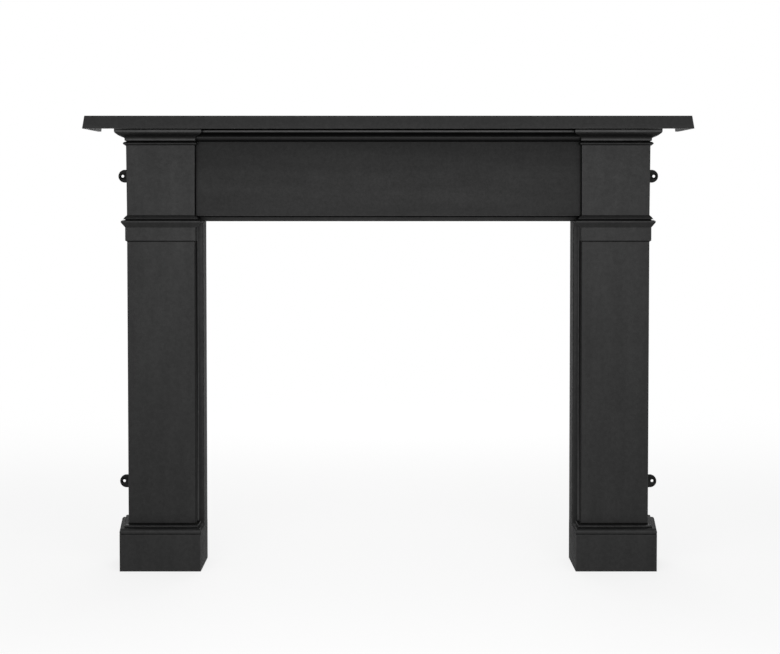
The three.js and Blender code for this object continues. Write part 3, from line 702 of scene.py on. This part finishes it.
def bolt(name, node, head_at, towards, length):
    """A hex bolt with a chamfered head and a helical thread on the far end of its shank."""
    shank = BOLT / 2
    thread_start = length - THREAD_LENGTH
    head = [(TIP, -BOLT_HEAD), *hex_profile(-BOLT_HEAD, 0, BOLT_ACROSS, HEX_CHAMFER)]
    rings = int(THREAD_LENGTH / THREAD_PITCH * THREAD_STEPS)
    thread = [(shank, thread_start + THREAD_LENGTH * (i + 1) / rings) for i in range(rings)]
    profile = [*head, (shank, 0), (shank, thread_start), *thread, (shank - END_CHAMFER, length),
               (TIP, length)]

    def shape(radius, along, angle):
        if along <= 0 and radius > shank:
            return min(radius, hex_radius(BOLT_ACROSS, angle))
        if along > thread_start and radius == shank:
            wave = abs((along / THREAD_PITCH - angle / (2 * math.pi)) % 1 - 0.5) * 2
            return radius - THREAD_DEPTH * wave
        return radius

    obj = turned(name, profile, head_at, towards, shape)
    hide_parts(node)
    return obj


def ring_piece(name, node, towards, height, outer, shape=None):
    """A washer or a nut: an outer profile of (radius, along) closed by a plain bore."""
    closed = [(BOLT_BORE / 2, outer[0][1]), *outer, (BOLT_BORE / 2, outer[-1][1])]
    origin = middle(node) - towards * height / 2
    bm = bmesh.new()
    rings = [[bm.verts.new(spot) for spot in ring]
             for ring in rings_round(closed, origin, towards, shape)]
    for a, b in zip(rings, rings[1:] + rings[:1]):
        for i in range(ROUND_SIDES):
            j = (i + 1) % ROUND_SIDES
            bm.faces.new((a[i], a[j], b[j], b[i]))
    obj = new_object(name, bm)
    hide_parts(node)
    return obj


def washer(node, towards):
    """A round washer with softened edges."""
    low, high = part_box(node)
    towards = Vector(towards)
    thickness = abs((Vector(high) - Vector(low)).dot(towards))
    radius = max(h - l for h, l in zip(high, low)) / 2
    outer = [(radius - WASHER_EDGE, 0), (radius, WASHER_EDGE), (radius, thickness - WASHER_EDGE),
             (radius - WASHER_EDGE, thickness)]
    return ring_piece(node + "_ring", node, towards, thickness, outer)


def nut(node, towards):
    """A hex nut with both ends chamfered."""
    low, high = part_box(node)
    towards = Vector(towards)
    height = abs((Vector(high) - Vector(low)).dot(towards))
    rise = hex_profile(0, height / 2, BOLT_ACROSS, HEX_CHAMFER)
    fall = [(radius, height - along) for radius, along in reversed(rise[:-1])]

    def shape(radius, along, angle):
        return min(radius, hex_radius(BOLT_ACROSS, angle))

    return ring_piece(node + "_body", node, towards, height, rise + fall, shape)


def lug_screw(node):
    """A slotted countersunk screw, its head towards the wall."""
    low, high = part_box(node)
    centre = middle(node)
    top = high[1]
    length = top - low[1]
    profile = [(TIP, 0), (SCREW_HEAD, 0), (SCREW_HEAD, SCREW_RIM), (SCREW_SHANK, SCREW_SINK),
               (SCREW_SHANK, length - MM), (SCREW_SHANK - END_CHAMFER, length), (TIP, length)]
    obj = turned(node + "_body", profile, (centre.x, top, centre.z), (0, -1, 0))
    reach = SCREW_HEAD + 2 * SKIN
    face = WALL_Y - top
    cut(obj, box(centre.x - reach, centre.x + reach, face - SKIN, face + SLOT_DEPTH,
                 centre.z - SLOT_WIDTH / 2, centre.z + SLOT_WIDTH / 2))
    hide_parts(node)
    return obj


# ---- materials -----------------------------------------------------------------------------------

class Nodes:
    """Short ways to add and link shader nodes."""

    def __init__(self, name):
        self.material = bpy.data.materials.new(name)
        self.material.use_nodes = True
        self.tree = self.material.node_tree
        self.shader = self.tree.nodes["Principled BSDF"]
        self.place = self.add("ShaderNodeTexCoord").outputs["Object"]

    def add(self, kind, **settings):
        node = self.tree.nodes.new(kind)
        for key, value in settings.items():
            setattr(node, key, value)
        return node

    def link(self, source, target):
        self.tree.links.new(source, target)

    def noise(self, scale, detail=4, stretch=(1, 1, 1), roughness=0.55):
        mapping = self.add("ShaderNodeMapping")
        mapping.inputs["Scale"].default_value = stretch
        self.link(self.place, mapping.inputs["Vector"])
        noise = self.add("ShaderNodeTexNoise")
        noise.inputs["Scale"].default_value = scale
        noise.inputs["Detail"].default_value = detail
        noise.inputs["Roughness"].default_value = roughness
        self.link(mapping.outputs["Vector"], noise.inputs["Vector"])
        return noise.outputs["Fac"]

    def spread(self, source, low, high, start=0.3, end=0.7):
        """Maps a noise's middle range onto low to high."""
        ranged = self.add("ShaderNodeMapRange", interpolation_type="SMOOTHSTEP")
        for key, value in (("From Min", start), ("From Max", end), ("To Min", low), ("To Max", high)):
            ranged.inputs[key].default_value = value
        self.link(source, ranged.inputs["Value"])
        return ranged.outputs["Result"]

    def math(self, operation, a, b):
        node = self.add("ShaderNodeMath", operation=operation)
        for socket, value in zip(node.inputs, (a, b)):
            if isinstance(value, (int, float)):
                socket.default_value = value
            else:
                self.link(value, socket)
        return node.outputs["Value"]

    def scaled(self, colour, factor):
        """The colour times a factor that varies over the surface."""
        mix = self.add("ShaderNodeMix", data_type="RGBA", blend_type="MULTIPLY")
        mix.inputs["Factor"].default_value = 1
        mix.inputs["A"].default_value = (*colour, 1)
        combine = self.add("ShaderNodeCombineColor")
        for name in ("Red", "Green", "Blue"):
            self.link(factor, combine.inputs[name])
        self.link(combine.outputs["Color"], mix.inputs["B"])
        return mix.outputs["Result"]

    def bump(self, height, distance, strength=1.0):
        node = self.add("ShaderNodeBump")
        node.inputs["Distance"].default_value = distance
        node.inputs["Strength"].default_value = strength
        self.link(height, node.inputs["Height"])
        self.link(node.outputs["Normal"], self.shader.inputs["Normal"])


def grey(value):
    return (value, value, value)


def cast_iron(name, shade, streak=(1, 1, 1), streak_depth=0.1, metallic=0.6):
    """Black-leaded cast iron: fine sand-cast grain, soft mottling and brushed streaks."""
    n = Nodes(name)
    broad = n.spread(n.noise(7, 4), 0.97, 1.03)
    patches = n.spread(n.noise(110, 4), 0.93, 1.07)
    streaks = n.spread(n.noise(26, 6, streak, 0.65), 1 - streak_depth, 1 + streak_depth)
    grain = n.noise(1500, 3)
    fine = n.spread(n.noise(420, 4), 0.92, 1.08)
    mottle = n.math("MULTIPLY", n.math("MULTIPLY", broad, patches), streaks)
    n.link(n.scaled(grey(shade), n.math("MULTIPLY", mottle, fine)), n.shader.inputs["Base Color"])
    n.link(n.spread(n.noise(40, 4), 0.45, 0.49), n.shader.inputs["Roughness"])
    n.shader.inputs["Metallic"].default_value = metallic
    n.shader.inputs["Specular IOR Level"].default_value = 0.12
    n.shader.inputs["Specular Tint"].default_value = (*grey(0.1), 1)
    n.bump(n.math("ADD", grain, n.math("MULTIPLY", n.noise(260, 3), 1.5)), 0.06 * MM, 0.6)
    return n.material


def zinc_steel():
    """Zinc plated steel, a little dulled."""
    n = Nodes("zinc_plated_steel")
    wear = n.spread(n.noise(300, 4), 0.85, 1.1)
    n.link(n.scaled((0.36, 0.37, 0.38), wear), n.shader.inputs["Base Color"])
    n.link(n.spread(n.noise(500, 3), 0.32, 0.5), n.shader.inputs["Roughness"])
    n.shader.inputs["Metallic"].default_value = 0.9
    n.bump(n.noise(2500, 2), 0.02 * MM, 0.4)
    return n.material


leg_iron = cast_iron("leg_iron", 0.036, streak=(1, 1, 0.12), streak_depth=0.06)
# A darker copy of the legs' iron: painted shade for the frieze, recessed under the shelf.
shaded_frieze_iron = cast_iron("shaded_frieze_iron", 0.028, streak=(0.1, 1, 1), streak_depth=0.06)
shelf_iron = cast_iron("shelf_iron", 0.036, streak=(0.08, 1, 1), streak_depth=0.06)
# A lighter, shinier copy for edges, lips and beads: partly real rubbing of the black lead, partly
# painted highlight.
worn_and_highlight_iron = cast_iron("worn_and_highlight_iron", 0.065, metallic=0.7)
# Nearly black and matt: painted shade for quirks, grooves, creases, joints and undersides.
painted_shade_iron = cast_iron("painted_shade_iron", 0.008, metallic=0.0)
# A darker copy of the iron: painted shade for the lugs, which sit back at the wall.
lug_iron = cast_iron("lug_iron", 0.02)
steel = zinc_steel()


def dress(obj, materials):
    for material in materials:
        obj.data.materials.append(material)
    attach(obj, "root")


# ---- the object ----------------------------------------------------------------------------------

def add_legs():
    right = right_leg()
    shade_faces(right,
                # bands of worn material with painted highlight: the cornice's fillet and lip, and the
                # cap's bead
                wear_and_highlight_bands=[(QUIRK_TOP + 5 * HAIR, QUIRK_TOP + FILLET_UPRIGHT),
                        (LEG_TOP - CORNICE_LIP, LEG_TOP - ARRIS),
                        (CAP_TOP - CAP_BEAD + ARRIS / 2, CAP_TOP - ARRIS / 2)],
                # bands of painted shade: the cornice's quirk, the capital's groove, the plinth's
                # groove, the crease above the cap and the top under the shelf
                shade_bands=[(QUIRK - HAIR, QUIRK_TOP),
                       (CAPITAL_HIGH - 2 * HAIR, CAPITAL_HIGH + CAPITAL_GROOVE + ARRIS),
                       (PLINTH_HEIGHT - ARRIS / 2, PLINTH_HEIGHT + CAP_GROOVE + ARRIS / 2),
                       (CAP_TOP - ARRIS / 2, CAP_TOP + SHADE),
                       (LEG_TOP - ARRIS, LEG_TOP + MM)],
                # painted shade on the faces against the frieze and on the inner arris, and a painted
                # highlight on the strip's fillet
                in_shade=leg_in_shade, bright=fillet_highlight)
    rounded_edges(right)
    left = mirrored(right, "left_leg_casting")
    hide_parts("right_leg")
    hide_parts("left_leg")
    for leg in (right, left):
        dress(leg, (leg_iron, worn_and_highlight_iron, painted_shade_iron))


def add_frieze():
    piece = frieze()
    # the cornice's lip takes the worn material with painted highlight
    shade_faces(piece, wear_and_highlight_bands=[(LEG_TOP - CORNICE_LIP, LEG_TOP)],
                # bands of painted shade: the cornice's quirk, its hollow and the slot above the lip
                shade_bands=[(QUIRK - ARRIS / 2, QUIRK_TOP),
                       (QUIRK_TOP + FRIEZE_OVOLO - HAIR, LEG_TOP - CORNICE_LIP - CYMA_LIGHT),
                       (PANEL_BOTTOM - FRIEZE_QUIRK - HAIR, PANEL_BOTTOM + ARRIS / 2)],
                # painted shade on the frieze's two ends, in the joints with the legs
                in_shade=frieze_in_shade)
    rounded_edges(piece)
    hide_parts("frieze")
    dress(piece, (shaded_frieze_iron, worn_and_highlight_iron, painted_shade_iron))


def add_shelf():
    piece = mantelshelf()
    # painted shade on the shelf's underside
    shade_faces(piece, in_shade=shelf_in_shade)
    rounded_edges(piece)
    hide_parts("mantelshelf")
    dress(piece, (shelf_iron, worn_and_highlight_iron, painted_shade_iron))


def add_lugs():
    for level in ("lower", "upper"):
        plate = lug(f"right_{level}_lug")
        twin = mirrored(plate, f"left_{level}_lug_plate")
        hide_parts(f"right_{level}_lug")
        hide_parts(f"left_{level}_lug")
        for piece in (plate, twin):
            dress(piece, (lug_iron,))
        for side in ("left", "right"):
            dress(lug_screw(f"{side}_{level}_lug_screw"), (steel,))


def add_clamp_bolt(side, level, towards):
    """One bolt from the leg into the frieze, with its two washers and its nut."""
    node = f"{side}_{level}_clamp_bolt"
    low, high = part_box(node)
    length = high[0] - low[0]
    head_face = middle(node) - towards * (length / 2 - BOLT_HEAD)
    pieces = (
        bolt(node + "_body", node, head_face, towards, length - BOLT_HEAD),
        washer(f"{side}_{level}_clamp_leg_washer", towards),
        washer(f"{side}_{level}_clamp_frieze_washer", towards),
        nut(f"{side}_{level}_clamp_nut", towards),
    )
    for piece in pieces:
        dress(piece, (steel,))


def add_shelf_bolt(node):
    """One bolt up into the shelf, with its washer."""
    low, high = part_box(node)
    centre = middle(node)
    face = Vector((centre.x, centre.y, low[2] + BOLT_HEAD))
    up = (0, 0, 1)
    dress(bolt(node + "_body", node, face, up, high[2] - low[2] - BOLT_HEAD), (steel,))
    dress(washer(node.replace("bolt", "washer"), up), (steel,))


add_legs()
add_frieze()
add_shelf()
add_lugs()
for side, inward in (("left", 1), ("right", -1)):
    for level in ("lower", "upper"):
        add_clamp_bolt(side, level, Vector((inward, 0, 0)))
for node in SHELF_BOLTS:
    add_shelf_bolt(node)


# ---- camera, floor and light ---------------------------------------------------------------------

PHOTO_WIDTH, PHOTO_HEIGHT = 780, 654
SENSOR = 36
FOCAL_PIXELS = 1450
AXIS_X, AXIS_Y = 388.25, 235  # where the lens axis meets the photo
CAMERA_DISTANCE = 3.85  # from the wall plane
CAMERA_HEIGHT = 0.984
CAMERA_PITCH = 1.8  # degrees below level
WORLD_LIGHT = 0.25  # what falls on things from all round; seen directly, the world is plain white
FLOOR_SIZE = 60
FLOOR_SHADE = 0.35
FLOOR_GLOW = 0.78  # seen directly, this lifts the floor to nearly white and keeps its shadow
SHADOW_REACH = 1.3  # distance from the middle at which the floor begins to fade to plain white
FADE_REACH = 3.2


def add_camera():
    data = bpy.data.cameras.new("camera")
    data.sensor_width = SENSOR
    data.lens = SENSOR * FOCAL_PIXELS / PHOTO_WIDTH
    data.shift_x = (PHOTO_WIDTH / 2 - AXIS_X) / PHOTO_WIDTH
    data.shift_y = (AXIS_Y - PHOTO_HEIGHT / 2) / PHOTO_WIDTH
    camera = bpy.data.objects.new("camera", data)
    camera.location = (0, WALL_Y - CAMERA_DISTANCE, CAMERA_HEIGHT)
    camera.rotation_euler = (math.radians(90 - CAMERA_PITCH), 0, 0)
    bpy.context.scene.collection.objects.link(camera)
    bpy.context.scene.camera = camera
    bpy.context.scene.view_settings.view_transform = "Standard"


def seen_directly(tree):
    """1 for rays from the camera, a mirror or a glass, and 0 for light that falls on things."""
    path = tree.nodes.new("ShaderNodeLightPath")
    total = path.outputs["Is Camera Ray"]
    for name in ("Is Glossy Ray", "Is Transmission Ray"):
        biggest = tree.nodes.new("ShaderNodeMath")
        biggest.operation = "MAXIMUM"
        tree.links.new(total, biggest.inputs[0])
        tree.links.new(path.outputs[name], biggest.inputs[1])
        total = biggest.outputs["Value"]
    return total


def add_world():
    world = bpy.data.worlds.new("world")
    bpy.context.scene.world = world
    world.use_nodes = True
    tree = world.node_tree
    background = tree.nodes["Background"]
    background.inputs["Color"].default_value = (1, 1, 1, 1)
    strength = tree.nodes.new("ShaderNodeMapRange")
    strength.inputs["To Min"].default_value = WORLD_LIGHT
    strength.inputs["To Max"].default_value = 1.0
    tree.links.new(seen_directly(tree), strength.inputs["Value"])
    tree.links.new(strength.outputs["Result"], background.inputs["Strength"])


def pale_floor():
    """A matt pale floor that fades to plain white away from the object."""
    n = Nodes("pale_floor")
    n.shader.inputs["Base Color"].default_value = (*grey(FLOOR_SHADE), 1)
    n.shader.inputs["Roughness"].default_value = 0.9
    n.shader.inputs["Specular IOR Level"].default_value = 0.0
    distance = n.add("ShaderNodeVectorMath", operation="LENGTH")
    n.link(n.place, distance.inputs[0])
    fade = n.spread(distance.outputs["Value"], 0, 1, SHADOW_REACH, FADE_REACH)
    white = n.add("ShaderNodeEmission")
    seen = seen_directly(n.tree)
    n.shader.inputs["Emission Color"].default_value = (1, 1, 1, 1)
    n.link(n.math("MULTIPLY", seen, FLOOR_GLOW), n.shader.inputs["Emission Strength"])
    blend = n.add("ShaderNodeMixShader")
    n.link(n.math("MULTIPLY", seen, fade), blend.inputs["Fac"])
    n.link(n.shader.outputs["BSDF"], blend.inputs[1])
    n.link(white.outputs["Emission"], blend.inputs[2])
    n.link(blend.outputs["Shader"], n.tree.nodes["Material Output"].inputs["Surface"])
    return n.material


def add_floor():
    bm = bmesh.new()
    bmesh.ops.create_grid(bm, x_segments=1, y_segments=1, size=FLOOR_SIZE / 2)
    floor = new_object("floor", bm)
    floor.data.materials.append(pale_floor())


def add_softbox(name, place, target, size, power):
    data = bpy.data.lights.new(name, "AREA")
    data.shape = "RECTANGLE"
    data.size, data.size_y = size
    data.energy = power
    light = bpy.data.objects.new(name, data)
    light.location = place
    light.rotation_euler = (Vector(target) - Vector(place)).to_track_quat("-Z", "Y").to_euler()
    light.visible_camera = False
    bpy.context.scene.collection.objects.link(light)


add_camera()
add_world()
add_floor()
add_softbox("key", place=(0, -1.9, 0.84), target=(0, 0, 0.84), size=(3.0, 0.35), power=16.6)
add_softbox("top", place=(0, -1.6, 3.0), target=(0, 0, 0.6), size=(3.0, 1.2), power=7)
add_softbox("rear", place=(0, 3.2, 1.5), target=(0, 0, 0.7), size=(3.0, 1.2), power=30)
